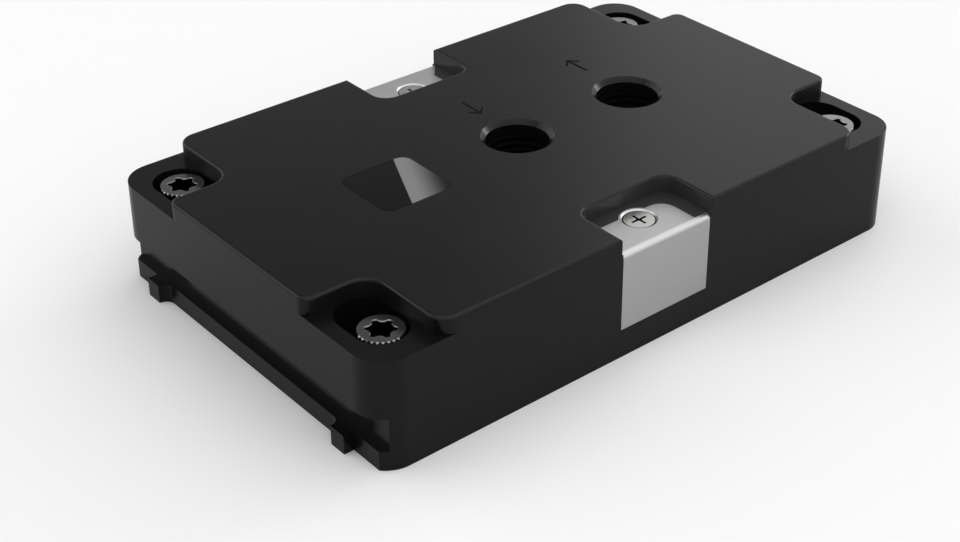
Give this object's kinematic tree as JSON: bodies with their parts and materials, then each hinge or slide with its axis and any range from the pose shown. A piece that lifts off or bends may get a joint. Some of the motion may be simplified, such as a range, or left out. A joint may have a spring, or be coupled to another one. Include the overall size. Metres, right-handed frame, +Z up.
{
  "type": "cpu water block",
  "caption": "Flat rectangular water block for a large processor socket: machined black body, two threaded top ports, metal cold plate below and captive corner nuts.",
  "frame": {"origin": "middle of the underside, in the plane of the cold plate's contact face", "axes": "+X along the length, from the badge towards the outlet port; +Y across, towards the rear bracket; +Z up, out of the ports"},
  "size_m": [0.1188, 0.075, 0.023],
  "materials": {
    "black_acetal": "fine machined satin",
    "nickel_plated_copper": "fine ground nickel plating",
    "zinc_screws": "bright zinc",
    "rubber_seal": "matt black",
    "thin_steel": "rolled sheet",
    "insert_acetal": "machined satin",
    "gloss_inlay": "polished",
    "bracket_sheet": "fine satin",
    "bracket_screw_steel": "bright nickel",
    "nut_steel": "turned, dark plated",
    "washer_plastic": "satin",
    "ring_steel": "phosphated"
  },
  "bodies": {
    "block": {"body": "black_acetal", "cold_plate": "nickel_plated_copper", "cold_plate_screws": "zinc_screws", "chamber_seal": "rubber_seal", "jet_plate": "thin_steel", "flow_insert": "insert_acetal", "inlet_seal": "rubber_seal", "badge": "gloss_inlay", "bracket_rear": "bracket_sheet", "bracket_front": "bracket_sheet", "bracket_screw_rear": "bracket_screw_steel", "bracket_screw_front": "bracket_screw_steel", "nut_washer_right_rear": "washer_plastic", "nut_washer_left_rear": "washer_plastic", "nut_washer_right_front": "washer_plastic", "nut_washer_left_front": "washer_plastic"},
    "right_rear_nut": {"nut_right_rear": "nut_steel", "nut_ring_right_rear": "ring_steel"},
    "left_rear_nut": {"nut_left_rear": "nut_steel", "nut_ring_left_rear": "ring_steel"},
    "right_front_nut": {"nut_right_front": "nut_steel", "nut_ring_right_front": "ring_steel"},
    "left_front_nut": {"nut_left_front": "nut_steel", "nut_ring_left_front": "ring_steel"}
  },
  "joints": [
    {"name": "right_rear_nut_turn", "type": "hinge", "parent": "block", "child": "right_rear_nut", "pos_m": [0.05125, 0.0285, 0.01], "axis": [0, 0, 1], "continuous": true},
    {"name": "left_rear_nut_turn", "type": "hinge", "parent": "block", "child": "left_rear_nut", "pos_m": [-0.05125, 0.0285, 0.01], "axis": [0, 0, 1], "continuous": true},
    {"name": "right_front_nut_turn", "type": "hinge", "parent": "block", "child": "right_front_nut", "pos_m": [0.05125, -0.0285, 0.01], "axis": [0, 0, 1], "continuous": true},
    {"name": "left_front_nut_turn", "type": "hinge", "parent": "block", "child": "left_front_nut", "pos_m": [-0.05125, -0.0285, 0.01], "axis": [0, 0, 1], "continuous": true}
  ]
}
